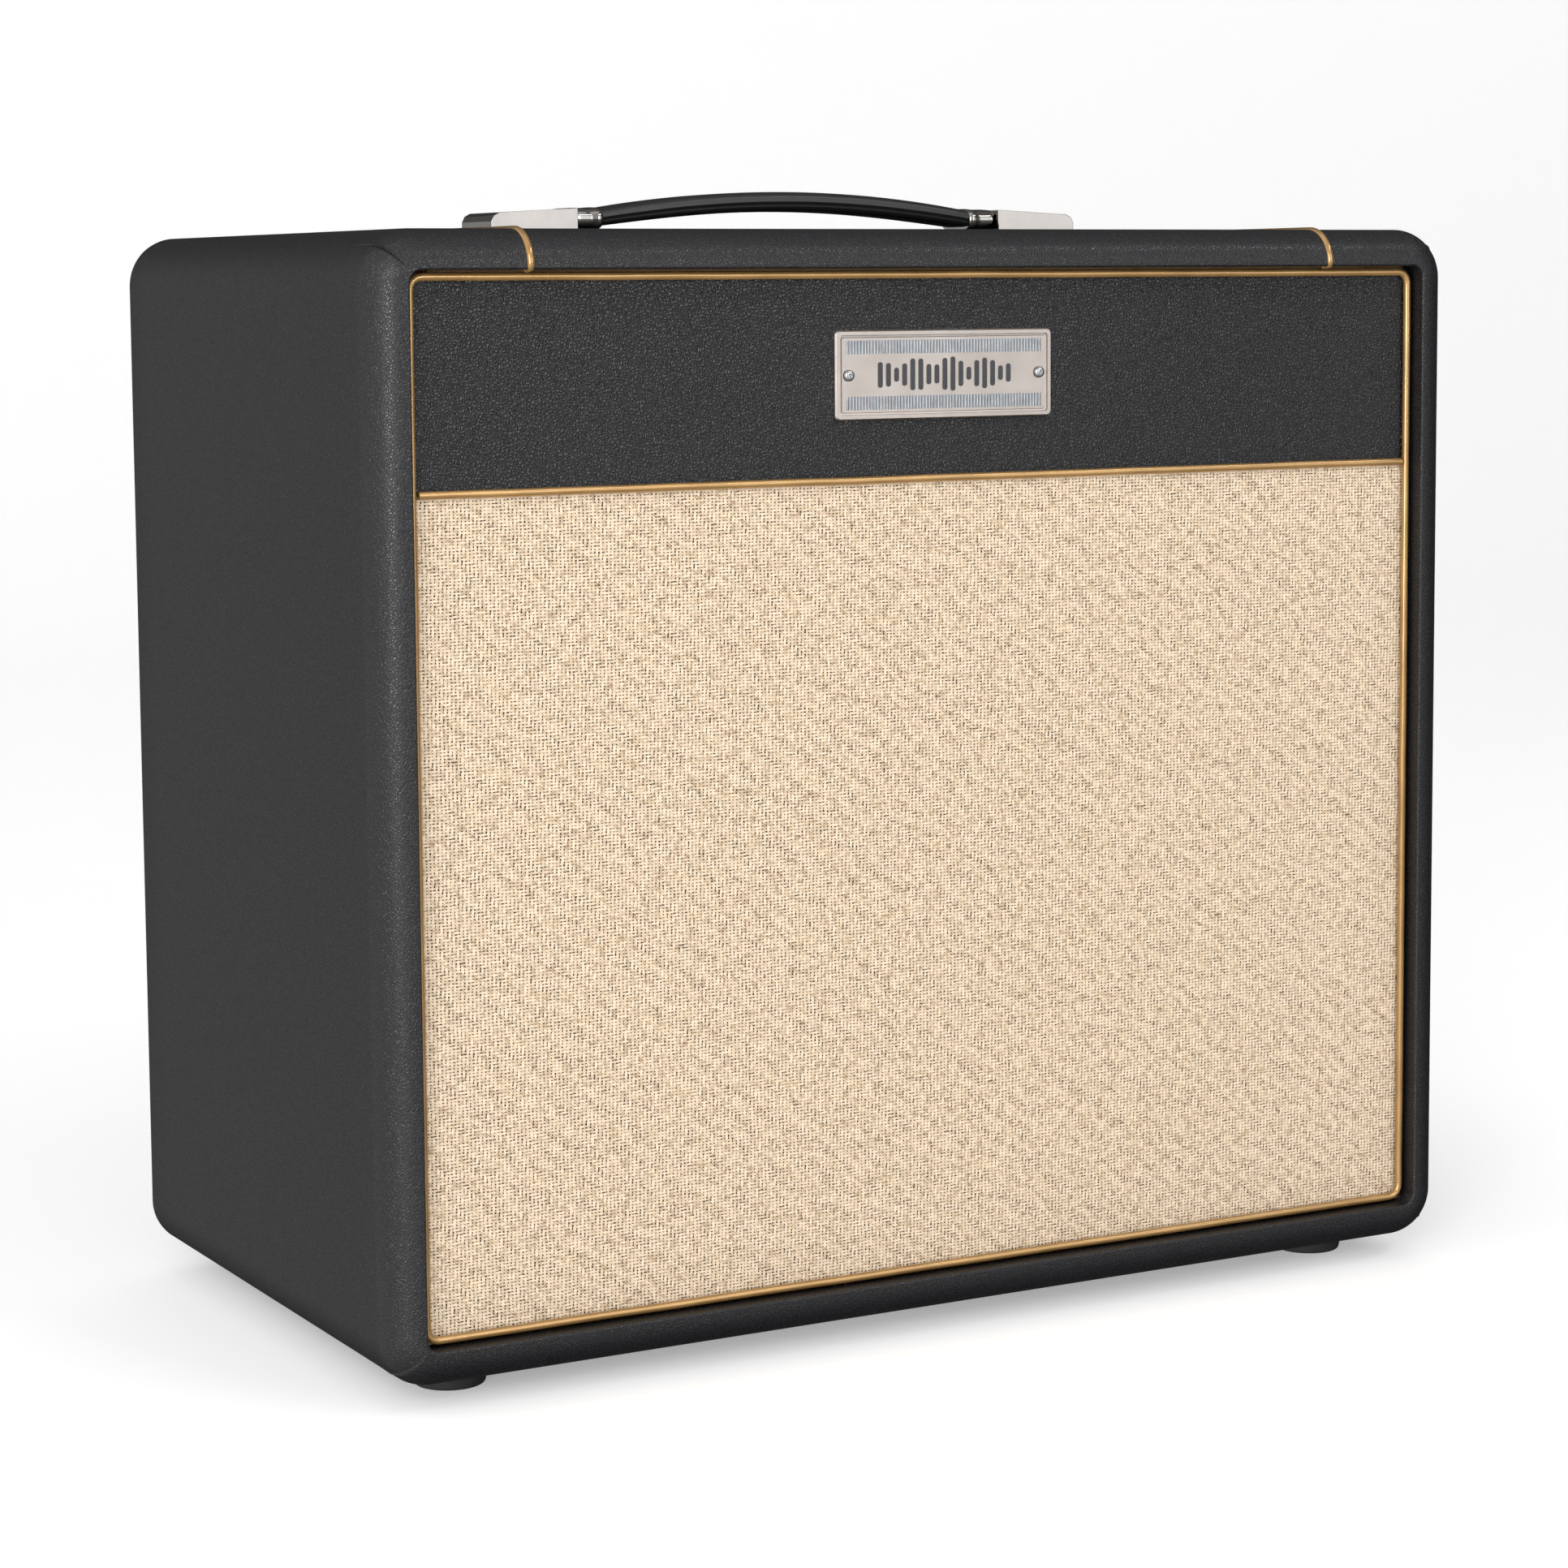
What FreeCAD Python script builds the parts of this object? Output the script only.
import FreeCAD, Part
import math
import os

import Sketcher
from FreeCAD import Placement, Rotation, Vector

# A one-speaker valve guitar amplifier, front facing -Y, standing on the XY plane.
# The origin is at the middle of its footprint on the floor.  All lengths are in millimetres.

doc = FreeCAD.newDocument("guitar_amplifier")
sheet = doc.addObject("Spreadsheet::Sheet", "dim")


class Size:
    """A length that knows its number and the sheet expression that it comes from."""

    def __init__(self, number, text):
        self.number = number
        self.text = text

    def __float__(self):
        return float(self.number)

    def __neg__(self):
        return Size(-self.number, "(0 - %s)" % self.text)

    def __add__(self, other):
        return combine(self, other, "+", self.number + float(other))

    def __radd__(self, other):
        return combine(other, self, "+", float(other) + self.number)

    def __sub__(self, other):
        return combine(self, other, "-", self.number - float(other))

    def __rsub__(self, other):
        return combine(other, self, "-", float(other) - self.number)

    def __mul__(self, other):
        return combine(self, other, "*", self.number * float(other))

    def __rmul__(self, other):
        return combine(other, self, "*", float(other) * self.number)

    def __truediv__(self, other):
        return combine(self, other, "/", self.number / float(other))


def words(value):
    return value.text if isinstance(value, Size) else repr(float(value))


def combine(first, second, sign, number):
    return Size(number, "(%s %s %s)" % (words(first), sign, words(second)))


def size(name, number):
    """A driving dimension: one row of the sheet."""
    size.row += 1
    sheet.set("A%d" % size.row, name)
    sheet.set("B%d" % size.row, str(number))
    sheet.setAlias("B%d" % size.row, name)
    return Size(number, "dim.%s" % name)


size.row = 0


# ---------------------------------------------------------------- driving dimensions

cab_width = size("cab_width", 534)
cab_height = size("cab_height", 470)
cab_depth = size("cab_depth", 291)
board = size("board_thickness", 15)
cover = size("cover_thickness", 0.8)
edge_radius = size("edge_radius", 22)
front_radius = size("front_radius", 15.5)
rear_radius = size("rear_radius", 6)
foot_height = size("foot_height", 10)
foot_radius = size("foot_radius", 17)
foot_inset = size("foot_inset", 45)

cloth_recess = size("cloth_recess", 10)
cloth = size("cloth_thickness", 1)
panel_ply = size("panel_ply", 12)
front_gap = size("front_gap", 1)
divider_drop = size("divider_drop", 106)
bead_radius = size("bead_radius", 2)
top_bead_offset = size("top_bead_offset", 198)
bead_sink = size("bead_sink", 0.6)
batten = size("batten", 18)

handle_half = size("handle_half", 151.6)
handle_clear = size("handle_clearance", 17.5)
cap_length = size("cap_length", 42)
cap_depth = size("cap_depth", 32)
cap_height = size("cap_height", 11.3)
cap_wall = size("cap_wall", 2)
strap_width = size("strap_width", 25)
strap_thickness = size("strap_thickness", 9)
strap_rise = size("strap_rise", 19.3)
strap_end_rise = size("strap_end_rise", 11.4)
ferrule_length = size("ferrule_length", 13.5)

speaker_radius = size("speaker_radius", 154.5)
speaker_clear = size("speaker_clearance", 0.9)
speaker_rim = size("speaker_rim", 14.5)
basket_depth = size("basket_depth", 82)
metal = size("sheet_metal", 1.5)
magnet_radius = size("magnet_radius", 78)
magnet_thickness = size("magnet_thickness", 22)
plate_thickness = size("plate_thickness", 7)
coil_radius = size("coil_radius", 22)
cone_travel = size("cone_travel", 3)

tray_height = size("tray_height", 60)
tray_margin = size("tray_margin", 11)
tray_back_margin = size("tray_back_margin", 9.5)
recess_depth = size("recess_depth", 76)
end_controls = size("end_controls", 96)
legend_plate = size("legend_plate", 1.5)

knob_radius = size("knob_radius", 11)
knob_pitch = size("knob_pitch", 38)
shaft_radius = size("shaft_radius", 3)
bush_radius = size("bush_radius", 4.5)
running_gap = size("running_gap", 0.05)
nut_thickness = size("nut_thickness", 2)
jack_bore = size("jack_bore_radius", 3.2)
rocker_width = size("rocker_width", 13)
rocker_length = size("rocker_length", 27)

back_inset = size("back_inset", 3)
slot_height = size("slot_height", 140)
lower_back = size("lower_back_height", 150)

# Places worked out from the driving dimensions.
half_width = cab_width / 2
front = -cab_depth / 2
rear = cab_depth / 2
base = foot_height
top = foot_height + cab_height
wall = board + 2 * cover
inner_x = half_width - cover - board
inner_top = top - cover - board
inner_base = base + cover + board
cloth_front = front + cloth_recess
ply_front = cloth_front + cloth
ply_rear = ply_front + panel_ply
divider_z = top - divider_drop
bead_y = cloth_front - bead_radius
open_x = half_width - wall
open_top = top - wall
open_base = base + wall
speaker_z = inner_base + batten + speaker_clear + speaker_radius
speaker_hole = speaker_radius - speaker_rim
back_front = rear - back_inset - panel_ply
tray_rear = back_front - 1
recess_front = tray_rear - tray_back_margin - recess_depth
recess_half = 2 * knob_pitch + end_controls
tray_front = recess_front - tray_margin
tray_half = recess_half + tray_margin
handle_middle = recess_front - handle_clear - cap_depth / 2
tray_top = inner_top
tray_base = tray_top - tray_height
legend_top = tray_top + legend_plate
nodes = []


# ---------------------------------------------------------------- ways of making a piece

def bind(item, **places):
    for name, value in places.items():
        item.setExpression(name.replace("_", "."), words(value))
    return item


def node(label, item):
    """Marks an object as a finished sub-part and gives it its own name."""
    item.Label = label
    nodes.append(item)
    return item


def block(name, x, y, z):
    """A box between two x, two y and two z places."""
    box = doc.addObject("Part::Box", name)
    bind(box, Length=x[1] - x[0], Width=y[1] - y[0], Height=z[1] - z[0])
    return bind(box, Placement_Base_x=x[0], Placement_Base_y=y[0], Placement_Base_z=z[0])


TURNS = {
    "x": Rotation(Vector(0, 1, 0), 90),
    "-x": Rotation(Vector(0, 1, 0), -90),
    "y": Rotation(Vector(1, 0, 0), -90),
    "-y": Rotation(Vector(1, 0, 0), 90),
    "z": Rotation(),
    "-z": Rotation(Vector(1, 0, 0), 180),
}


def place(item, x, y, z, way="z"):
    item.Placement = Placement(Vector(), TURNS[way])
    return bind(item, Placement_Base_x=x, Placement_Base_y=y, Placement_Base_z=z)


def rod(name, radius, length, x, y, z, way="z"):
    """A cylinder that starts at a place and runs along x, y or z, or down."""
    cylinder = bind(doc.addObject("Part::Cylinder", name), Radius=radius, Height=length)
    return place(cylinder, x, y, z, way)


def taper(name, radius, far_radius, length, x, y, z, way="z"):
    cone = bind(doc.addObject("Part::Cone", name), Radius1=radius, Radius2=far_radius, Height=length)
    return place(cone, x, y, z, way)


def joined(name, pieces):
    fusion = doc.addObject("Part::MultiFuse", name)
    fusion.Shapes = pieces
    fusion.Refine = True
    return fusion


def group(name, pieces):
    """Separate solids that share one node."""
    compound = doc.addObject("Part::Compound", name)
    compound.Links = pieces
    return compound


def less(name, item, tools):
    cut = doc.addObject("Part::Cut", name)
    cut.Base = item
    cut.Tool = tools[0] if len(tools) == 1 else group(name + "_tools", tools)
    return cut


def shared(name, first, second):
    common = doc.addObject("Part::Common", name)
    common.Base = first
    common.Tool = second
    return common


def rounded(name, item, edges):
    """Fillets on listed edges, each an edge number and a radius."""
    fillet = doc.addObject("Part::Fillet", name)
    fillet.Base = item
    fillet.Edges = [(number, float(radius), float(radius)) for number, radius in edges]
    return fillet


def edges_where(item, test):
    """The numbers of an object's edges that pass a test on their middle point."""
    doc.recompute()
    found = []
    for number, edge in enumerate(item.Shape.Edges, 1):
        middle = edge.valueAt((edge.FirstParameter + edge.LastParameter) / 2)
        if test(middle):
            found.append(number)
    return found


def origin_plane(body, role):
    return next(item for item in body.Origin.OriginFeatures if item.Role == role)


def profile(body, name, role, points):
    """A closed outline on one of a body's own planes, each point held by two distances."""
    sketch = body.newObject("Sketcher::SketchObject", name)
    sketch.AttachmentSupport = [(origin_plane(body, role), "")]
    sketch.MapMode = "FlatFace"
    places = [Vector(float(across), float(up), 0) for across, up in points]
    count = len(points)
    for index in range(count):
        sketch.addGeometry(Part.LineSegment(places[index], places[(index + 1) % count]), False)
    for index in range(count):
        sketch.addConstraint(Sketcher.Constraint("Coincident", index, 2, (index + 1) % count, 1))
    for index, (across, up) in enumerate(points):
        for kind, value in (("DistanceX", across), ("DistanceY", up)):
            rule = sketch.addConstraint(Sketcher.Constraint(kind, -1, 1, index, 1, float(value)))
            sketch.setExpression("Constraints[%d]" % rule, words(value))
    return sketch


def turned(name, points, x, y, z, way="z"):
    """A body turned about its own axis from a half outline of radius and height."""
    body = doc.addObject("PartDesign::Body", name)
    outline = profile(body, name + "_outline", "XZ_Plane", points)
    turn = body.newObject("PartDesign::Revolution", name + "_turn")
    turn.Profile = outline
    turn.ReferenceAxis = (outline, ["V_Axis"])
    turn.Angle = 360
    return place(body, x, y, z, way)


def opposite(way):
    return way[1:] if way.startswith("-") else "-" + way


def screws(label, places, head_radius, head_height, shank_radius, shank_length, way):
    """Identical screws with domed heads that point one way; each place is under a head."""
    pieces = []
    for number, (x, y, z) in enumerate(places, 1):
        name = "%s_%d" % (label, number)
        head = taper(name + "_head", head_radius, 0.7 * head_radius, head_height, x, y, z, way)
        shank = rod(name + "_shank", shank_radius, shank_length, x, y, z, opposite(way))
        pieces.append(joined(name, [head, shank]))
    return node(label, group(label, pieces))


def holes(name, places, radius, length, way):
    """Round cutters, one at each place, that run one way from it."""
    return [rod("%s_%d" % (name, n), radius, length, *p, way) for n, p in enumerate(places, 1)]


# ---------------------------------------------------------------- cabinet: four boards and their covering

def rounded_block(name, margin):
    """The cabinet's outer form, brought in by a margin on every side."""
    form = block(
        name + "_block",
        (-half_width + margin, half_width - margin),
        (front + margin, rear - margin),
        (base + margin, top - margin),
    )
    long_edges = edges_where(form, lambda p: abs(p.y) < 1)
    sides = rounded(name + "_long_edges", form, [(n, edge_radius - margin) for n in long_edges])
    face = float(cab_depth / 2 - margin)
    front_edges = edges_where(sides, lambda p: abs(p.y + face) < 0.01)
    ends = rounded(name + "_front", sides, [(n, front_radius - margin) for n in front_edges])
    rear_edges = edges_where(ends, lambda p: abs(p.y - face) < 0.01)
    return rounded(name, ends, [(n, rear_radius - margin) for n in rear_edges])


def tunnel(name, margin, y):
    """The hollow of the cabinet, between the inner faces of its boards."""
    return block(
        name,
        (-inner_x + margin, inner_x - margin),
        y,
        (inner_base + margin, inner_top - margin),
    )


over = 5
screw_gap = 0.1
board_form = rounded_block("board_form", cover)
hollow = tunnel("hollow", 0, (front - over, rear + over))
board_ring = less("board_ring", board_form, [hollow])

# The top is open over the control panel and drilled for the handle, and the bottom for the feet.
recess_x = (-recess_half, recess_half)
recess_y = (recess_front, recess_front + recess_depth)
handle_x = handle_half - cap_length / 2
handle_places = [(x, handle_middle, inner_top - over) for x in (-handle_x, handle_x)]
foot_x = half_width - foot_inset
foot_y = cab_depth / 2 - foot_inset
foot_places = [(x, y, base) for x in (-foot_x, foot_x) for y in (-foot_y, foot_y)]
handle_screw = 2.5
foot_screw = 2.2
bolt_x = tray_half - 30
bolt_rows = ((tray_front + recess_front) / 2, (recess_y[1] + tray_rear - metal) / 2)
bolt_places = [(x, y, tray_top - metal) for x in (-bolt_x, bolt_x) for y in bolt_rows]
bolt_radius = 2
bolt_reach = 10


def board_cuts(name):
    window = block(name + "_window", recess_x, recess_y, (inner_top - over, top + over))
    drilled = holes(name + "_handle", handle_places, handle_screw + screw_gap, wall + 2 * over, "z")
    drilled += holes(name + "_foot", foot_places, foot_screw + screw_gap, wall, "z")
    return [window] + drilled


# Beads run from front to back over the top, half sunk in it, along each side of the middle.
def top_bead(name, x):
    z = top - bead_sink
    run_front = front + front_radius
    run = rod(name + "_run", bead_radius, rear - rear_radius - run_front, x, run_front, z, "y")
    nose = doc.addObject("Part::Torus", name + "_nose")
    bind(nose, Radius1=front_radius - bead_sink, Radius2=bead_radius)
    nose.Angle3 = 90
    nose_turn = Rotation(Vector(0, 0, 1), Vector(0, -1, 0), Vector(1, 0, 0), "XYZ")
    nose.Placement = Placement(Vector(), nose_turn)
    bind(nose, Placement_Base_x=x, Placement_Base_y=run_front, Placement_Base_z=top - front_radius)
    drop = rod(name + "_drop", bead_radius, wall - front_radius, x, front + bead_sink, open_top)
    tail = doc.addObject("Part::Torus", name + "_tail")
    bind(tail, Radius1=rear_radius - bead_sink, Radius2=bead_radius)
    tail.Angle3 = 90
    tail_turn = Rotation(Vector(0, 1, 0), Vector(0, 0, 1), Vector(1, 0, 0), "XYZ")
    tail.Placement = Placement(Vector(), tail_turn)
    bind(tail, Placement_Base_x=x, Placement_Base_y=rear - rear_radius, Placement_Base_z=top - rear_radius)
    rear_drop = rod(name + "_rear_drop", bead_radius, wall - rear_radius, x, rear - bead_sink, open_top)
    return joined(name, [run, nose, drop, tail, rear_drop])


top_beads = [top_bead("left_bead", -top_bead_offset), top_bead("right_bead", top_bead_offset)]
node("top_piping", group("top_piping", top_beads))
bolt_holes = holes("bolt_hole", bolt_places, bolt_radius + screw_gap, bolt_reach + metal + 1, "z")
boards = less("drilled_ring", board_ring, board_cuts("board") + top_beads + bolt_holes)

upright = (base - over, top + over)
depthwise = (front - over, rear + over)
slabs = {
    "left_side_board": ((-half_width - over, -inner_x), depthwise, upright),
    "right_side_board": ((inner_x, half_width + over), depthwise, upright),
    "top_board": ((-inner_x, inner_x), depthwise, (inner_top, top + over)),
    "bottom_board": ((-inner_x, inner_x), depthwise, (base - over, inner_base)),
}
for label, (x, y, z) in slabs.items():
    node(label, shared(label, boards, block(label + "_slab", x, y, z)))

# The covering wraps the outside and turns in round the front edge and round the rear edge.
outer_form = rounded_block("outer_form", 0)
lined = tunnel("lined_hollow", cover, (front - over, rear + over))
unlined = tunnel("unlined_hollow", 0, (ply_front, back_front))
shell_core = less("shell_core", board_form, [hollow])
covering = less("covering_shell", outer_form, [lined, unlined, shell_core] + board_cuts("cover"))
node("cabinet_covering", less("cabinet_covering", covering, top_beads))


# ---------------------------------------------------------------- front: baffle, cloth, fascia and piping

panel_x = open_x - front_gap
panel_base = open_base + front_gap
panel_top = open_top - front_gap
joint_half = 0.5


def frame_battens(label, y, tall_top, screw_holes):
    """Strips glued inside the walls: two uprights and one along the bottom."""
    left = block(label + "_left", (-inner_x, -inner_x + batten), y, (inner_base, tall_top))
    right = block(label + "_right", (inner_x - batten, inner_x), y, (inner_base, tall_top))
    low_x = (-inner_x + batten, inner_x - batten)
    low = block(label + "_low", low_x, y, (inner_base, inner_base + batten))
    if screw_holes:
        left = less(label + "_left_drilled", left, screw_holes[0])
        right = less(label + "_right_drilled", right, screw_holes[1])
    return [left, right, low]


front_strips = frame_battens("front_batten", (ply_rear, ply_rear + batten), tray_base - over, None)
high_x = (-inner_x + batten, inner_x - batten)
high_z = (inner_top - batten, inner_top)
front_strips.append(block("front_batten_high", high_x, (ply_rear, ply_rear + batten), high_z))
node("front_battens", group("front_battens", front_strips))

ring_radius = (speaker_radius + speaker_hole) / 2
speaker_bolt = 2.5


def around(count, start=45.0):
    """Unit directions, evenly spaced, as pairs along x and z."""
    turns = [math.radians(start + 360.0 * step / count) for step in range(count)]
    return [(round(math.cos(turn), 6), round(math.sin(turn), 6)) for turn in turns]


speaker_bolt_places = [
    (ring_radius * across, ply_rear + metal, speaker_z + ring_radius * up) for across, up in around(4)
]
baffle_bolt_depth = panel_ply + metal - 2
cloth_z = (panel_base, divider_z - joint_half)
baffle = block("baffle_blank", (-panel_x, panel_x), (ply_front, ply_rear), cloth_z)
mouth = rod("speaker_mouth", speaker_hole, panel_ply + 2 * over, 0, ply_front - over, speaker_z, "y")
bolt_cutters = holes("baffle_hole", speaker_bolt_places, speaker_bolt + screw_gap, baffle_bolt_depth, "-y")
node("baffle_board", less("baffle_board", baffle, [mouth] + bolt_cutters))
node("grille_cloth", block("grille_cloth", (-panel_x, panel_x), (cloth_front, ply_front), cloth_z))

badge_width = size("badge_width", 108)
badge_height = size("badge_height", 38)
badge_thickness = size("badge_thickness", 2.5)
badge_drop = size("badge_drop", 61.6)
badge_rim = size("badge_rim", 3)
badge_screw_x = badge_width / 2 - 6.5
badge_z = top - badge_drop
badge_front = cloth_front - badge_thickness
badge_screw = 1.4
badge_screw_places = [(x, badge_front + 0.6, badge_z) for x in (-badge_screw_x, badge_screw_x)]


def badge_holes(name):
    return holes(name, badge_screw_places, badge_screw + screw_gap, 12, "y")


fascia_z = (divider_z + joint_half, panel_top)
fascia = block("fascia_blank", (-panel_x, panel_x), (ply_front, ply_rear), fascia_z)
node("fascia_board", less("fascia_board", fascia, badge_holes("fascia_hole")))
skin = block("fascia_skin", (-panel_x, panel_x), (cloth_front, ply_front), fascia_z)
node("fascia_covering", less("fascia_covering", skin, badge_holes("skin_hole")))

badge = block(
    "badge_blank",
    (-badge_width / 2, badge_width / 2),
    (badge_front, cloth_front),
    (badge_z - badge_height / 2, badge_z + badge_height / 2),
)
badge_corners = edges_where(badge, lambda p: abs(p.y - float(badge_front + cloth_front) / 2) < 0.1)
badge_round = rounded("badge_round", badge, [(number, 4) for number in badge_corners])
badge_well = block(
    "badge_well",
    (-badge_width / 2 + badge_rim, badge_width / 2 - badge_rim),
    (badge_front - over, badge_front + 0.6),
    (badge_z - badge_height / 2 + badge_rim, badge_z + badge_height / 2 - badge_rim),
)
node("badge_plate", less("badge_plate", badge_round, [badge_well] + badge_holes("badge_hole")))
screws("badge_screws", badge_screw_places, 3.2, 1.6, badge_screw, 11, "-y")

# The frame bead is four straight runs and four quarter turns.
bead_turn = size("bead_turn_radius", 5)
bead_x = panel_x - bead_radius
bead_low = panel_base + bead_radius
bead_high = panel_top - bead_radius
run_x = bead_x - bead_turn
runs = [
    rod("bead_low_run", bead_radius, 2 * run_x, -run_x, bead_y, bead_low, "x"),
    rod("bead_high_run", bead_radius, 2 * run_x, -run_x, bead_y, bead_high, "x"),
]
upright_run = bead_high - bead_low - 2 * bead_turn
for side, x in (("left", -bead_x), ("right", bead_x)):
    runs.append(rod("bead_%s_run" % side, bead_radius, upright_run, x, bead_y, bead_low + bead_turn))
bends = (
    ("high_right", run_x, bead_high - bead_turn, 0),
    ("high_left", -run_x, bead_high - bead_turn, 90),
    ("low_left", -run_x, bead_low + bead_turn, 180),
    ("low_right", run_x, bead_low + bead_turn, 270),
)
for name, x, z, turn in bends:
    bend = bind(doc.addObject("Part::Torus", "bead_" + name), Radius1=bead_turn, Radius2=bead_radius)
    bend.Angle3 = 90
    upright_turn = Rotation(Vector(1, 0, 0), 90)
    bend.Placement = Placement(Vector(), upright_turn.multiply(Rotation(Vector(0, 0, 1), turn)))
    runs.append(bind(bend, Placement_Base_x=x, Placement_Base_y=bead_y, Placement_Base_z=z))
node("frame_piping", joined("frame_piping", runs))
divider_half = bead_x - bead_radius
divider_run = rod("divider_piping", bead_radius, 2 * divider_half, -divider_half, bead_y, divider_z, "x")
node("divider_piping", divider_run)


# ---------------------------------------------------------------- carrying handle and feet

cap_mouth = handle_half - cap_length
cap_end_height = cap_height - 2
cap_corner = 4
seat_height = 5
counterbore = 4.4
cavity_length = 12
cavity_top = top + cap_height - cap_wall


def handle_cap(label, side):
    """A moulded end cap: its mouth faces the middle, and its screw sits in a counterbore."""
    body = doc.addObject("PartDesign::Body", label + "_body")
    points = [
        (side * cap_mouth, 0),
        (side * handle_half, 0),
        (side * handle_half, cap_end_height - cap_corner),
        (side * (handle_half - cap_corner / 3), cap_end_height - cap_corner / 3),
        (side * (handle_half - cap_corner), cap_end_height),
        (side * cap_mouth, cap_height),
    ]
    outline = profile(body, label + "_outline", "XZ_Plane", points)
    pad = body.newObject("PartDesign::Pad", label + "_pad")
    pad.Profile = outline
    pad.Midplane = True
    bind(pad, Length=cap_depth)
    place(body, 0, handle_middle, top)
    ends = sorted((side * (cap_mouth - over), side * (cap_mouth + cavity_length)), key=float)
    half = cap_depth / 2 - cap_wall
    cavity = block(
        label + "_cavity", ends, (handle_middle - half, handle_middle + half), (top - over, cavity_top)
    )
    seat = (side * handle_x, handle_middle, top + seat_height)
    head = rod(label + "_head_room", counterbore, cap_height, *seat)
    shank = rod(label + "_shank_room", handle_screw + screw_gap, seat_height + over, *seat, "-z")
    return node(label, less(label, body, [cavity, head, shank]))


handle_cap("handle_cap_left", -1)
handle_cap("handle_cap_right", 1)
nut_height = 4
nut_radius = 5
cap_screw_places = [(x, handle_middle, top + seat_height) for x in (-handle_x, handle_x)]
cap_screw_reach = seat_height + wall + nut_height + 2
cap_screws = []
for number, seat in enumerate(cap_screw_places, 1):
    name = "cap_screw_%d" % number
    head = rod(name + "_head", 4.2, 2.6, *seat)
    shank = rod(name + "_shank", handle_screw, cap_screw_reach, *seat, "-z")
    below = (seat[0], seat[1], inner_top - nut_height)
    nut = rod(name + "_nut", nut_radius, nut_height, *below)
    cap_screws.append(joined(name, [head, shank, nut]))
node("handle_cap_screws", group("handle_cap_screws", cap_screws))

# The strap is a shallow arch: a slice of a ring between the two ferrules.
ferrule_gap = 0.4
ferrule_outer = cap_mouth - ferrule_gap
ferrule_inner = ferrule_outer - ferrule_length
sag = strap_rise - strap_end_rise
bow = (ferrule_inner * ferrule_inner + sag * sag) / (2 * sag)
bow_centre = top + strap_rise - bow
strap_y = (handle_middle - strap_width / 2, handle_middle + strap_width / 2)
arch = rod("strap_arch", bow, strap_width, 0, strap_y[0], bow_centre, "y")
under_place = (0, strap_y[0] - over, bow_centre)
under = rod("strap_under", bow - strap_thickness, strap_width + 2 * over, *under_place, "y")
ring = less("strap_ring", arch, [under])
room_y = (strap_y[0] - over, strap_y[1] + over)
room_z = (top, top + 2 * strap_rise)
strap_room = block("strap_room", (-ferrule_inner, ferrule_inner), room_y, room_z)
node("handle_strap", shared("handle_strap", ring, strap_room))

ferrule_base = top + 1.5
ferrule_top = top + strap_end_rise + 0.6
ferrule_half = strap_width / 2 + 1.2
tongue_length = 8
tongue_half = strap_width / 2 - 2
tongue_z = (top + 2, top + 4.5)
ferrules = []
for name, side in (("left", -1), ("right", 1)):
    shell_x = sorted((side * ferrule_inner, side * ferrule_outer), key=float)
    tongue_x = sorted((side * ferrule_outer, side * (ferrule_outer + tongue_length)), key=float)
    shell_y = (handle_middle - ferrule_half, handle_middle + ferrule_half)
    tongue_y = (handle_middle - tongue_half, handle_middle + tongue_half)
    shell = block(name + "_ferrule_shell", shell_x, shell_y, (ferrule_base, ferrule_top))
    tongue = block(name + "_ferrule_tongue", tongue_x, tongue_y, tongue_z)
    ferrules.append(joined(name + "_ferrule", [shell, tongue]))
node("handle_ferrules", group("handle_ferrules", ferrules))

foot_taper = 2
foot_seat = foot_height / 2
feet = []
for number, (x, y, z) in enumerate(foot_places, 1):
    name = "foot_%d" % number
    rubber = taper(name + "_rubber", foot_radius, foot_radius - foot_taper, foot_height, x, y, z, "-z")
    room = rod(name + "_head_room", 6, foot_seat + over, x, y, foot_seat, "-z")
    bore = rod(name + "_bore", foot_screw + screw_gap, foot_height, x, y, foot_seat)
    feet.append(less(name, rubber, [room, bore]))
node("feet", group("feet", feet))
foot_screw_places = [(x, y, foot_seat) for x, y, z in foot_places]
screws("foot_screws", foot_screw_places, 5, 3, foot_screw, foot_seat + wall - 3, "-z")


# ---------------------------------------------------------------- loudspeaker, on the rear of the baffle

def speaker_turned(name, points):
    """A piece of the loudspeaker: its outline is radius and depth behind the baffle."""
    return turned(name, points, 0, ply_rear, speaker_z, "y")


rim_inner = speaker_hole + 1
basket_back = magnet_radius + 5
basket_eye = coil_radius + 18
basket = speaker_turned("basket_body", [
    (rim_inner, 0),
    (speaker_radius, 0),
    (speaker_radius, metal),
    (rim_inner + metal, metal),
    (rim_inner + metal, 14),
    (basket_back, basket_depth - metal),
    (basket_back, basket_depth),
    (basket_eye, basket_depth),
    (basket_eye, basket_depth - metal),
    (basket_back - metal, basket_depth - metal),
    (rim_inner, 14 - metal),
])
basket_tools = []
window_radius = 26
for number, (across, up) in enumerate(around(6, 0), 1):
    window = bind(
        doc.addObject("Part::Cylinder", "basket_window_%d" % number),
        Radius=window_radius, Height=speaker_radius,
    )
    window.Placement = Placement(Vector(), Rotation(Vector(0, 0, 1), Vector(across, 0, up)))
    window_y = ply_rear + basket_depth * 0.52
    basket_tools.append(
        bind(window, Placement_Base_x=0, Placement_Base_y=window_y, Placement_Base_z=speaker_z)
    )
basket_tools += holes("rim_hole", speaker_bolt_places, speaker_bolt + screw_gap, metal + over, "-y")
terminal_x = (-basket_back - 14, -basket_back)
terminal_y = (ply_rear + basket_depth - 5, ply_rear + basket_depth)
terminal = block("terminal_strip", terminal_x, terminal_y, (speaker_z - 12, speaker_z + 12))
node("speaker_basket", group("speaker_basket", [less("basket", basket, basket_tools), terminal]))
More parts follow.
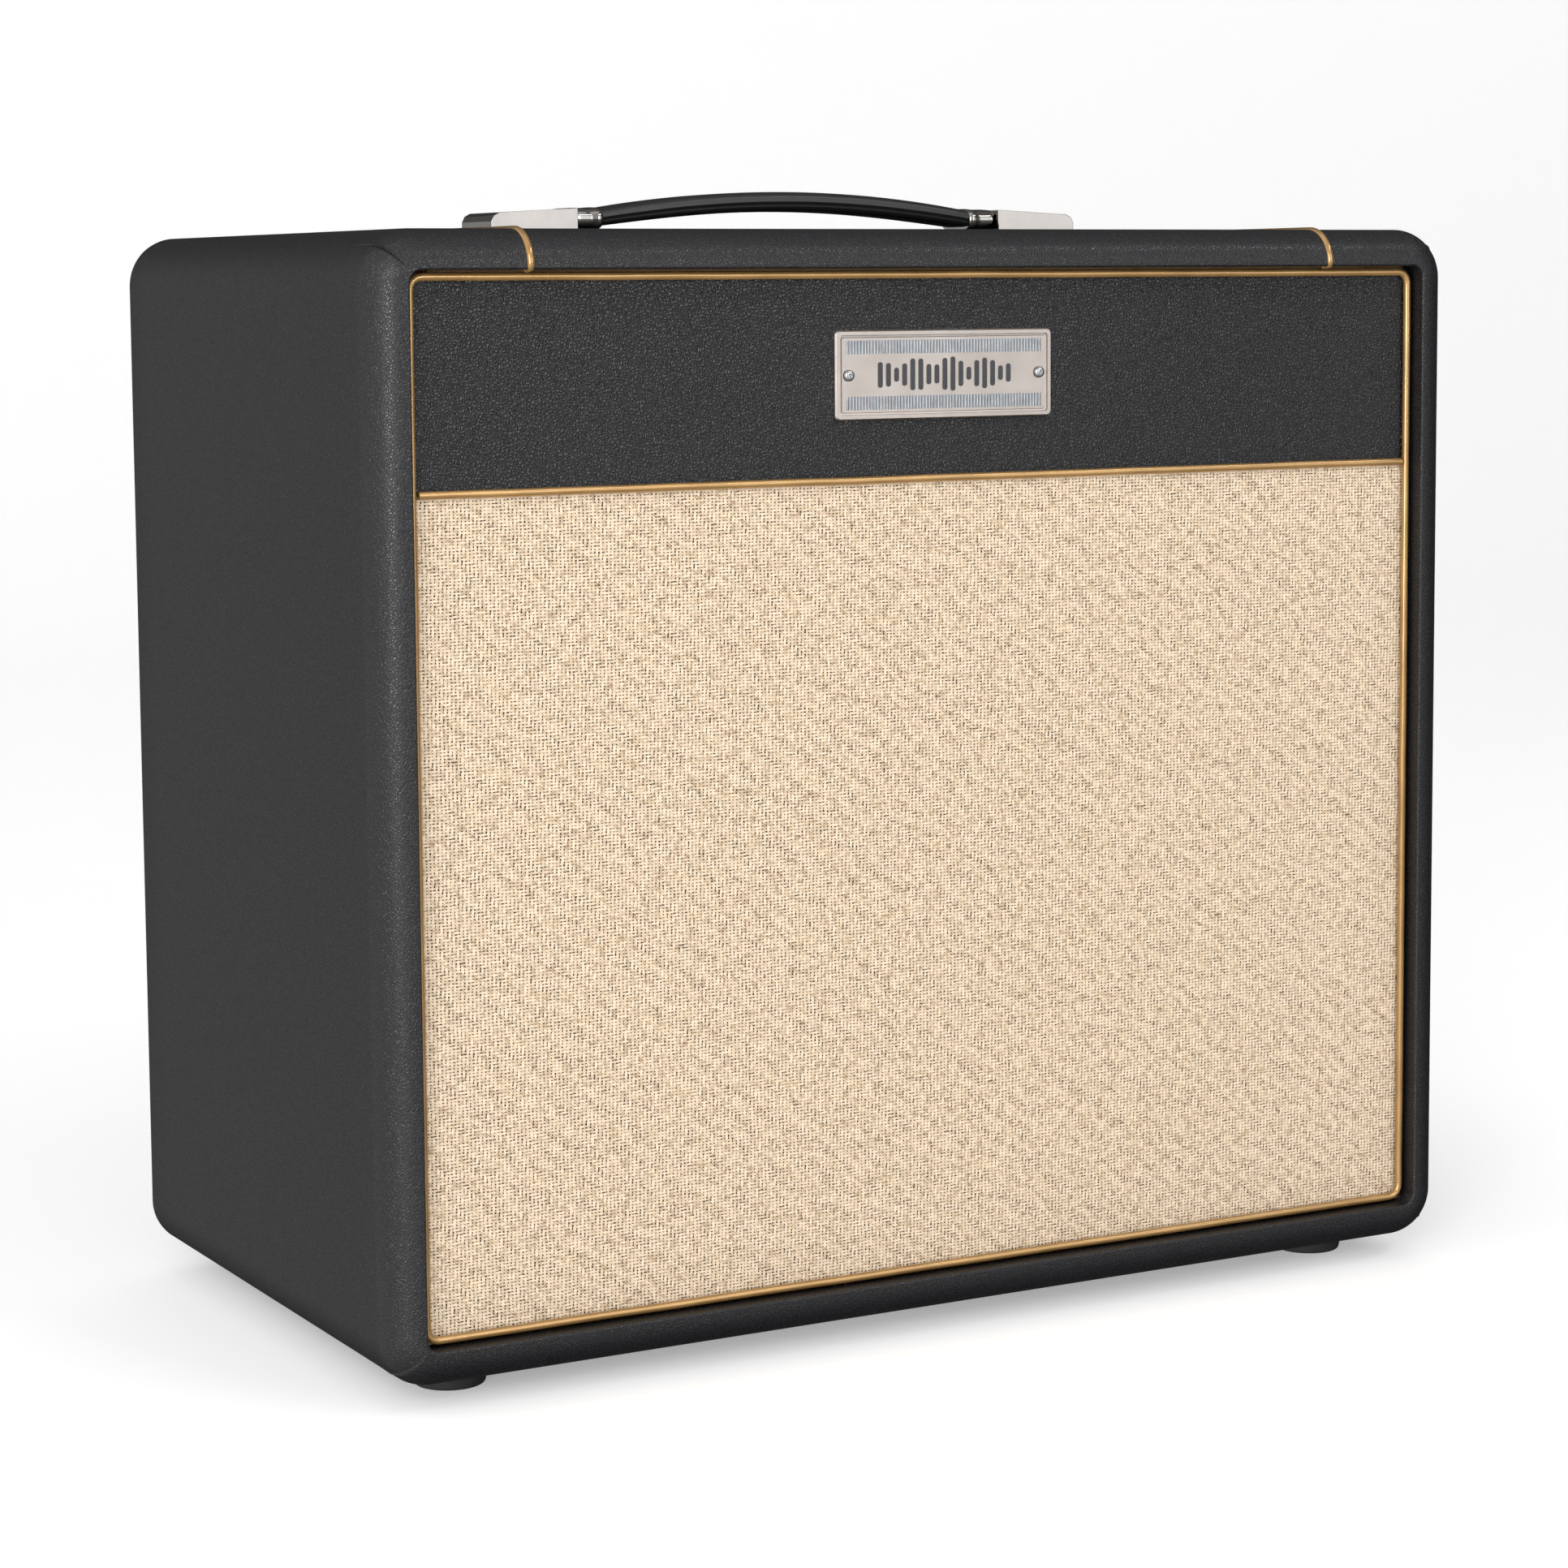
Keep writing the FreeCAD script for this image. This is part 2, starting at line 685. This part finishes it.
screws("speaker_bolts", speaker_bolt_places, 4.5, 3, speaker_bolt, baffle_bolt_depth - 1, "y")

plate_rear = basket_depth + plate_thickness
magnet_rear = plate_rear + magnet_thickness
pole_radius = coil_radius - 1.5
coil_outer = coil_radius + 0.6
coil_inner = coil_radius - 0.4
node("speaker_magnet", speaker_turned("speaker_magnet", [
    (basket_eye, plate_rear),
    (magnet_radius, plate_rear),
    (magnet_radius, magnet_rear),
    (basket_eye, magnet_rear),
]))
plate_radius = magnet_radius - 8
front_plate = speaker_turned("front_plate", [
    (coil_radius + 2, basket_depth),
    (plate_radius, basket_depth),
    (plate_radius, plate_rear),
    (coil_radius + 2, plate_rear),
])
rear_plate = speaker_turned("rear_plate", [
    (0, basket_depth),
    (pole_radius, basket_depth),
    (pole_radius, magnet_rear),
    (plate_radius, magnet_rear),
    (plate_radius, magnet_rear + plate_thickness),
    (0, magnet_rear + plate_thickness),
])
node("magnet_plates", group("magnet_plates", [front_plate, rear_plate]))

cone_rim = rim_inner - 5
cone_roll = cone_rim - 10
cone_front = cone_travel + 0.8
cone_neck = basket_depth - 24
paper = 1.2
node("speaker_cone", speaker_turned("speaker_cone", [
    (coil_outer, cone_neck),
    (cone_roll, cone_front),
    (cone_rim, cone_front),
    (cone_rim, cone_front + paper),
    (cone_roll + 0.6, cone_front + paper),
    (coil_outer, cone_neck + 1.5),
]))
node("dust_cap", speaker_turned("dust_cap", [
    (0, cone_neck - 14),
    (coil_outer * 0.5, cone_neck - 11.5),
    (coil_outer * 0.9, cone_neck - 5),
    (coil_outer, cone_neck),
    (coil_outer * 0.94, cone_neck),
    (coil_outer * 0.82, cone_neck - 4.6),
    (coil_outer * 0.45, cone_neck - 10.2),
    (0, cone_neck - 12.6),
]))
node("voice_coil", speaker_turned("voice_coil", [
    (coil_inner, cone_neck),
    (coil_outer, cone_neck),
    (coil_outer, plate_rear + 4),
    (coil_inner, plate_rear + 4),
]))


# ---------------------------------------------------------------- chassis and control panel

control_y = recess_front + recess_depth / 2
knob_labels = ("volume_knob", "treble_knob", "middle_knob", "bass_knob", "reverb_knob")
knob_x = [knob_pitch * (step - 2) - 4 for step in range(5)]
input_x = (knob_x[0] - 70, knob_x[0] - 40)
lamp_x = knob_x[4] + 28
rocker_x = {"standby_rocker": lamp_x + 22, "power_rocker": lamp_x + 50}
jack_bush = jack_bore + 1.6
jack_body = jack_bore + 5.8
jack_depth = 22
jack_nut = jack_bush + 2.6
bush_gap = 0.1
bush_top = legend_top + nut_thickness + 0.8
lamp_radius = 5
housing_x = rocker_width / 2 + 0.8
housing_y = rocker_length / 2 + 1
preamp_x = (-150, -112, -74)
power_x = (-34, 8)
socket_radius = 11
valve_y = control_y + 4
connector_z = tray_base + tray_height / 2 - 4
speaker_jack_x = (-120, -88)
fuse_x = 62
fuse_radius = 6
inlet_x = 118
inlet_half = (13.5, 10)


def panel_cutters(name, z, depth):
    """Everything that passes down through the control panel and the chassis under it."""
    cutters = holes(
        name + "_pot", [(x, control_y, z) for x in knob_x], bush_radius + bush_gap, depth, "z"
    )
    cutters += holes(
        name + "_jack", [(x, control_y, z) for x in input_x], jack_bush + bush_gap, depth, "z"
    )
    cutters.append(rod(name + "_lamp", lamp_radius + bush_gap, depth, lamp_x, control_y, z))
    for label, x in rocker_x.items():
        room_x = (x - housing_x - bush_gap, x + housing_x + bush_gap)
        room_y = (control_y - housing_y - bush_gap, control_y + housing_y + bush_gap)
        cutters.append(block("%s_%s" % (name, label), room_x, room_y, (z, z + depth)))
    return cutters


# The tray is welded up from five plates, and its front is open for wiring.
plate_y = (tray_front, tray_rear)
end_y = (tray_front, tray_rear - metal)
end_z = (tray_base + metal, tray_top - metal)
wall_y = tray_rear - metal - 1
top_plate = block("tray_top_plate", (-tray_half, tray_half), plate_y, (tray_top - metal, tray_top))
top_cutters = panel_cutters("tray", tray_top - metal - 1, metal + 2)
top_cutters += holes("tray_bolt", bolt_places, bolt_radius + screw_gap, metal + 1, "z")
socket_places = [(x, valve_y, tray_base - 1) for x in preamp_x + power_x]
base_plate = block("tray_base_plate", (-tray_half, tray_half), plate_y, (tray_base, tray_base + metal))
base_cutters = holes("tray_socket", socket_places, socket_radius + bush_gap, metal + 2, "z")
cable_exit = (-tray_half + 15, tray_front + 14, tray_base)
cable_radius = 2.5
cable_hole = (cable_exit[0], cable_exit[1], tray_base - 1)
base_cutters.append(rod("tray_cable", cable_radius + bush_gap, 2 * metal, *cable_hole))
rear_plate = block("tray_rear_plate", (-tray_half, tray_half), (tray_rear - metal, tray_rear), end_z)
rear_jacks = [(x, wall_y, connector_z) for x in speaker_jack_x]
rear_cutters = holes("tray_speaker_jack", rear_jacks, jack_bush + bush_gap, metal + 2, "y")
rear_cutters.append(rod("tray_fuse", fuse_radius + bush_gap, metal + 2, fuse_x, wall_y, connector_z, "y"))
inlet_room_x = (inlet_x - inlet_half[0] - bush_gap, inlet_x + inlet_half[0] + bush_gap)
inlet_room_z = (connector_z - inlet_half[1] - bush_gap, connector_z + inlet_half[1] + bush_gap)
rear_cutters.append(block("tray_inlet", inlet_room_x, (wall_y, wall_y + metal + 2), inlet_room_z))
node("chassis_tray", group("chassis_tray", [
    less("tray_top", top_plate, top_cutters),
    less("tray_base", base_plate, base_cutters),
    less("tray_rear", rear_plate, rear_cutters),
    block("tray_left_end", (-tray_half, -tray_half + metal), end_y, end_z),
    block("tray_right_end", (tray_half - metal, tray_half), end_y, end_z),
]))
screws("chassis_bolts", bolt_places, 3.4, 2.5, bolt_radius, bolt_reach, "-z")

legend_gap = 0.5
legend = block(
    "legend_blank",
    (-recess_half + legend_gap, recess_half - legend_gap),
    (recess_y[0] + legend_gap, recess_y[1] - legend_gap),
    (tray_top, legend_top),
)
legend_cutters = panel_cutters("legend", tray_top - 1, legend_plate + 2)
node("control_panel", less("control_panel", legend, legend_cutters))

# Potentiometers hang under the panel; each knob turns on its potentiometer's shaft.
pot_radius = 12
pot_depth = 9
pot_top = tray_top - metal
pots = []
nuts = []
for number, x in enumerate(knob_x, 1):
    name = "pot_%d" % number
    can = rod(name + "_can", pot_radius, pot_depth, x, control_y, pot_top - pot_depth)
    bush = rod(name + "_bush", bush_radius, bush_top - pot_top, x, control_y, pot_top)
    bore_base = pot_top - pot_depth + 1.5
    bore = rod(name + "_bore", shaft_radius + running_gap, 2 * tray_height, x, control_y, bore_base)
    pots.append(less(name, joined(name + "_solid", [can, bush]), [bore]))
    ring = rod(name + "_nut", bush_radius + 2.6, nut_thickness, x, control_y, legend_top)
    hole = rod(name + "_nut_hole", bush_radius, nut_thickness, x, control_y, legend_top)
    nuts.append(less(name + "_nut_ring", ring, [hole]))
node("potentiometers", group("potentiometers", pots))
for number, x in enumerate(input_x, 1):
    name = "input_nut_%d" % number
    ring = rod(name + "_disc", jack_nut, nut_thickness, x, control_y, legend_top)
    hole = rod(name + "_hole", jack_bush, nut_thickness, x, control_y, legend_top)
    nuts.append(less(name, ring, [hole]))
node("panel_nuts", group("panel_nuts", nuts))

knob_base = bush_top + 0.6
knob_height = top - knob_base - 1.2
skirt = 2.5
shaft_end = pot_top - pot_depth + 2.5
for label, x in zip(knob_labels, knob_x):
    grip = turned(label + "_grip", [
        (0, 0),
        (knob_radius, 0),
        (knob_radius, skirt),
        (knob_radius - 2.4, skirt + 0.6),
        (knob_radius - 3.2, knob_height - 0.8),
        (knob_radius - 4, knob_height),
        (0, knob_height),
    ], x, control_y, knob_base)
    shaft_top = knob_base + knob_height - 3
    shaft_room = rod(label + "_room", shaft_radius, shaft_top - knob_base, x, control_y, knob_base)
    shaft = rod(label + "_shaft", shaft_radius, shaft_top - shaft_end, x, control_y, shaft_end)
    node(label, group(label, [less(label + "_cap", grip, [shaft_room]), shaft]))


def jack(name, x, y, z, way, step):
    """A socket for a 6.35 mm plug; its mouth is at the place and points one way."""
    back = opposite(way)
    bush_length = nut_thickness + 0.8 + step
    inner = (x, y, z - bush_length) if way == "z" else (x, y - bush_length, z)
    bush = rod(name + "_bush", jack_bush, bush_length, x, y, z, back)
    body = rod(name + "_body", jack_body, jack_depth, *inner, back)
    bore = rod(name + "_bore", jack_bore, bush_length + jack_depth - 1, x, y, z, back)
    return less(name, joined(name + "_solid", [bush, body]), [bore])


input_jacks = [
    jack("input_jack_%d" % n, x, control_y, bush_top, "z", metal + legend_plate)
    for n, x in enumerate(input_x, 1)
]
node("input_jacks", group("input_jacks", input_jacks))
mouth_y = tray_rear + nut_thickness + 0.8
speaker_jacks = []
for number, x in enumerate(speaker_jack_x, 1):
    name = "speaker_jack_%d" % number
    speaker_jacks.append(jack(name, x, mouth_y, connector_z, "y", metal))
    ring = rod(name + "_disc", jack_nut, nut_thickness, x, tray_rear, connector_z, "y")
    hole = rod(name + "_hole", jack_bush, nut_thickness, x, tray_rear, connector_z, "y")
    speaker_jacks.append(less(name + "_nut", ring, [hole]))
node("speaker_jacks", group("speaker_jacks", speaker_jacks))

# Rocker switches: a housing with a well, and a rocker on a cross axis just above the panel.
rocker_tilt = 12
pivot_z = legend_top + 1.2
housings = []
for label, x in rocker_x.items():
    flange = block(
        label + "_flange",
        (x - housing_x - 1, x + housing_x + 1),
        (control_y - housing_y - 1, control_y + housing_y + 1),
        (legend_top, legend_top + 1.2),
    )
    barrel_x = (x - housing_x, x + housing_x)
    barrel_y = (control_y - housing_y, control_y + housing_y)
    barrel = block(label + "_barrel", barrel_x, barrel_y, (legend_top - 24, legend_top))
    well = block(
        label + "_well",
        (x - rocker_width / 2 + 0.2, x + rocker_width / 2 - 0.2),
        (control_y - rocker_length / 2, control_y + rocker_length / 2),
        (legend_top - 9, legend_top + over),
    )
    housings.append(less(label + "_housing", joined(label + "_case", [flange, barrel]), [well]))
    body = doc.addObject("PartDesign::Body", label + "_body")
    reach = rocker_length / 2 - 1
    outline = profile(body, label + "_outline", "YZ_Plane", [
        (-reach, -3),
        (-reach, 3.5),
        (0, 1.2),
        (reach, 3.5),
        (reach, -3),
        (0, -6),
    ])
    pad = body.newObject("PartDesign::Pad", label + "_pad")
    pad.Profile = outline
    pad.Midplane = True
    bind(pad, Length=rocker_width - 1)
    body.Placement = Placement(Vector(), Rotation(Vector(1, 0, 0), -rocker_tilt))
    bind(body, Placement_Base_x=x, Placement_Base_y=control_y, Placement_Base_z=pivot_z)
    node(label, body)
node("switch_bodies", group("switch_bodies", housings))

lamp_rim = rod("lamp_rim", lamp_radius + 2, 1.5, lamp_x, control_y, legend_top)
lamp_body = rod("lamp_body", lamp_radius, 20, lamp_x, control_y, legend_top - 20)
lamp_well = rod("lamp_well", lamp_radius - 0.5, 4, lamp_x, control_y, legend_top - 1)
lamp_holder = less("lamp_holder", joined("lamp_case", [lamp_rim, lamp_body]), [lamp_well])
jewel = taper("lamp_jewel", lamp_radius - 0.5, lamp_radius - 2.5, 6, lamp_x, control_y, legend_top - 1)
node("pilot_lamp", group("pilot_lamp", [lamp_holder, jewel]))

fuse_cap = rod("fuse_cap", fuse_radius + 2, 9, fuse_x, tray_rear, connector_z, "y")
fuse_body = rod("fuse_body", fuse_radius, 30, fuse_x, tray_rear, connector_z, "-y")
node("fuse_holder", joined("fuse_holder", [fuse_cap, fuse_body]))

inlet_x_ends = (inlet_x - inlet_half[0], inlet_x + inlet_half[0])
inlet_z_ends = (connector_z - inlet_half[1], connector_z + inlet_half[1])
inlet_body = block("inlet_body", inlet_x_ends, (tray_rear - 24, tray_rear), inlet_z_ends)
inlet_flange = block(
    "inlet_flange",
    (inlet_x_ends[0] - 10, inlet_x_ends[1] + 10),
    (tray_rear, tray_rear + 2),
    (inlet_z_ends[0] - 1.5, inlet_z_ends[1] + 1.5),
)
inlet_socket = block(
    "inlet_socket",
    (inlet_x_ends[0] + 1.5, inlet_x_ends[1] - 1.5),
    (tray_rear - 17, tray_rear + over),
    (inlet_z_ends[0] + 2, inlet_z_ends[1] - 2),
)
inlet_pins = [
    block(
        "inlet_pin_%d" % number,
        (x - 1, x + 1),
        (tray_rear - 20, tray_rear - 2),
        (z - 2, z + 2),
    )
    for number, (x, z) in enumerate(
        ((inlet_x - 7, connector_z - 1), (inlet_x, connector_z + 4), (inlet_x + 7, connector_z - 1)), 1
    )
]
inlet_shell = less("inlet_shell", joined("inlet_case", [inlet_body, inlet_flange]), [inlet_socket])
node("mains_inlet", joined("mains_inlet", [inlet_shell] + inlet_pins))


# ---------------------------------------------------------------- inside and under the chassis

circuit_z = tray_base + metal + 14
circuit_y = (tray_front + 8, tray_front + 52)
circuit_x = (-130, 110)
circuit = [block("circuit_plate", circuit_x, circuit_y, (circuit_z, circuit_z + 1.6))]
post_places = [(x, y, tray_base + metal) for x in (-124, 104) for y in (tray_front + 13, tray_front + 34)]
circuit += holes("circuit_post", post_places, 3, circuit_z - tray_base - metal, "z")
for number, x in enumerate(range(-40, 100, 14), 1):
    place_y = tray_front + 14
    circuit.append(rod("resistor_%d" % number, 2, 16, x, place_y, circuit_z + 3.6, "y"))
node("circuit_board", group("circuit_board", circuit))
capacitor_radius = 8
capacitor_y = tray_front + 10
capacitor_z = circuit_z + 1.6 + capacitor_radius
capacitor_places = [(x, capacitor_y, capacitor_z) for x in (-116, -96, -76)]
capacitors = holes("capacitor", capacitor_places, capacitor_radius, 38, "y")
node("filter_capacitors", group("filter_capacitors", capacitors))

sockets = []
for number, (x, y, z) in enumerate(socket_places, 1):
    name = "socket_%d" % number
    barrel = rod(name + "_barrel", socket_radius, 12, x, y, tray_base - 2)
    lip = rod(name + "_lip", socket_radius + 2, 2, x, y, tray_base - 2)
    sockets.append(joined(name, [barrel, lip]))
node("valve_sockets", group("valve_sockets", sockets))


def valve(name, x, radius, length):
    """A glass valve that hangs from its socket, with a drawn-off tip."""
    return turned(name, [
        (0, 0),
        (radius - 1.5, 0),
        (radius, 3),
        (radius, length - 12),
        (radius * 0.75, length - 6),
        (2, length - 4),
        (1.4, length),
        (0, length),
    ], x, valve_y, tray_base - 2, "-z")


valve_radius = size("valve_radius", 10.5)
preamp_valve_length = size("preamp_valve_length", 52)
power_valve_length = size("power_valve_length", 70)
preamps = [valve("preamp_%d" % n, x, valve_radius, preamp_valve_length) for n, x in enumerate(preamp_x, 1)]
powers = [valve("power_%d" % n, x, valve_radius, power_valve_length) for n, x in enumerate(power_x, 1)]
node("preamp_valves", group("preamp_valves", preamps))
node("power_valves", group("power_valves", powers))


def transformer(label, x, width, depth, height):
    """A stack of laminations with a bell cover at each end, bolted under the chassis."""
    y = control_y
    core_x = (x - width / 2, x + width / 2)
    core_y = (y - depth / 5, y + depth / 5)
    core = block(label + "_core", core_x, core_y, (tray_base - height, tray_base))
    bells = []
    for side, ends in (("front", (y - depth / 2, core_y[0])), ("rear", (core_y[1], y + depth / 2))):
        bell_x = (x - width / 2 + 5, x + width / 2 - 5)
        bell = block("%s_%s_bell" % (label, side), bell_x, ends, (tray_base - height + 5, tray_base - 2))
        outside = float(ends[0] if side == "front" else ends[1])
        corners = edges_where(bell, lambda p: abs(p.y - outside) < 0.1)
        bells.append(rounded("%s_%s_cover" % (label, side), bell, [(n, 6) for n in corners]))
    return node(label, group(label, [core] + bells))


mains_size = (size("mains_width", 78), size("mains_depth", 66), size("mains_height", 66))
output_size = (size("output_width", 58), size("output_depth", 50), size("output_height", 50))
transformer("mains_transformer", 134, *mains_size)
transformer("output_transformer", 60, *output_size)


# ---------------------------------------------------------------- back: battens, panels, vent

back_screw_x = inner_x - batten / 2
lower_z = (panel_base, panel_base + lower_back)
upper_z = (lower_z[1] + slot_height, panel_top)
screw_rows = (lower_z[0] + 28, lower_z[1] - 18, upper_z[0] + 18, upper_z[1] - 28)
back_screw_places = [
    (x, back_front + panel_ply, z) for x in (-back_screw_x, back_screw_x) for z in screw_rows
]
back_screw = 2


def back_holes(name, places):
    return holes(name, places, back_screw + screw_gap, panel_ply + batten, "-y")


rear_strips = frame_battens("rear_batten", (back_front - batten, back_front), inner_top, (
    back_holes("left_batten_hole", back_screw_places[:4]),
    back_holes("right_batten_hole", back_screw_places[4:]),
))
node("rear_battens", group("rear_battens", rear_strips))
panel_y = (back_front, back_front + panel_ply)
lower_blank = block("lower_back_blank", (-panel_x, panel_x), panel_y, lower_z)
lower_places = back_screw_places[0:2] + back_screw_places[4:6]
lower_holes = back_holes("lower_back_hole", lower_places)
node("lower_back_panel", less("lower_back_panel", lower_blank, lower_holes))

connector_window = block(
    "connector_window",
    (speaker_jack_x[0] - 25, inlet_x + 45),
    (back_front - over, rear + over),
    (tray_base + 6, tray_top - 10),
)
vent_half = size("vent_half", 110)
vent_z = (upper_z[0] + 20, tray_base - 20)
vent_window = block("vent_window", (-vent_half, vent_half), (back_front - over, rear + over), vent_z)
upper_blank = block("upper_back_blank", (-panel_x, panel_x), panel_y, upper_z)
upper_places = back_screw_places[2:4] + back_screw_places[6:8]
upper_holes = back_holes("upper_back_hole", upper_places)
upper_openings = [connector_window, vent_window] + upper_holes
node("upper_back_panel", less("upper_back_panel", upper_blank, upper_openings))
screws("back_panel_screws", back_screw_places, 4, 2, back_screw, panel_ply + batten - 6, "y")

grille_margin = 10
grille_y = (back_front - metal, back_front)
grille_z = (vent_z[0] - grille_margin, vent_z[1] + grille_margin)
grille_half = vent_half + grille_margin
grille_plate = block("vent_plate", (-grille_half, grille_half), grille_y, grille_z)
slot_pitch = (2 * vent_half - 10) / 10
slots = []
for number in range(10):
    low = -vent_half + 8 + slot_pitch * number
    slot_x = (low, low + slot_pitch - 7)
    slot_y = (back_front - over, back_front + over)
    slots.append(block("vent_slot_%d" % number, slot_x, slot_y, (vent_z[0] + 5, vent_z[1] - 5)))
node("back_vent_grille", less("back_vent_grille", grille_plate, slots))


# ---------------------------------------------------------------- speaker lead, chassis to terminals

def rounded_route(points):
    """Straight runs joined by tangent arcs, each 0.45 of the shorter run beside it."""
    edges = []
    start = points[0]
    for before, corner, after in zip(points, points[1:], points[2:]):
        arriving = corner - before
        leaving = after - corner
        setback = 0.45 * min(arriving.Length, leaving.Length)
        arriving.normalize()
        leaving.normalize()
        enter = corner - arriving * setback
        leave = corner + leaving * setback
        turn = arriving.getAngle(leaving)
        radius = setback / math.tan(turn / 2)
        inward = leaving - arriving
        inward.normalize()
        centre_reach = math.hypot(setback, radius)
        middle = corner + inward * (centre_reach - radius)
        edges.append(Part.makeLine(start, enter))
        edges.append(Part.Arc(enter, middle, leave).toShape())
        print("speaker lead bend radius %.1f" % radius)
        start = leave
    edges.append(Part.makeLine(start, points[-1]))
    return Part.Wire(edges)


lead_end = Vector(float(terminal_x[0]), float(terminal_y[1]) - 2.5, float(speaker_z))
lead_exit = Vector(*[float(value) for value in cable_exit])
lead_start = lead_exit + Vector(0, 0, 16)
lead_points = [
    lead_start,
    lead_exit + Vector(0, 0, -40),
    lead_exit + Vector(4, -22, -88),
    Vector(lead_end.x - 46, (lead_start.y + lead_end.y) / 2 - 8, (lead_start.z + lead_end.z) / 2 - 6),
    lead_end + Vector(-42, 6, 34),
    lead_end + Vector(-36, 0, 0),
    lead_end,
]
route = rounded_route(lead_points)
section = Part.Wire(Part.makeCircle(cable_radius, lead_start, Vector(0, 0, -1)))
lead = doc.addObject("Part::Feature", "speaker_cable")
lead.Shape = route.makePipeShell([section], True, False)
lead.Placement = Placement()
node("speaker_cable", lead)
print("speaker lead length %.0f, volume ratio %.3f" % (
    route.Length, lead.Shape.Volume / (math.pi * cable_radius ** 2 * route.Length)
))


# ---------------------------------------------------------------- checks and files

doc.recompute()
failed = [item.Name for item in doc.Objects if "Invalid" in item.State or "Error" in item.State]
if failed:
    raise RuntimeError("not built: %s" % ", ".join(failed))
for item in nodes:
    if item.Shape.isNull() or not item.Shape.isValid() or not item.Shape.Solids:
        raise RuntimeError("bad shape: %s" % item.Label)

os.makedirs("parts", exist_ok=True)
for item in nodes:
    item.Shape.exportStep("parts/%s.step" % item.Label)
print("%d sub-parts written" % len(nodes))
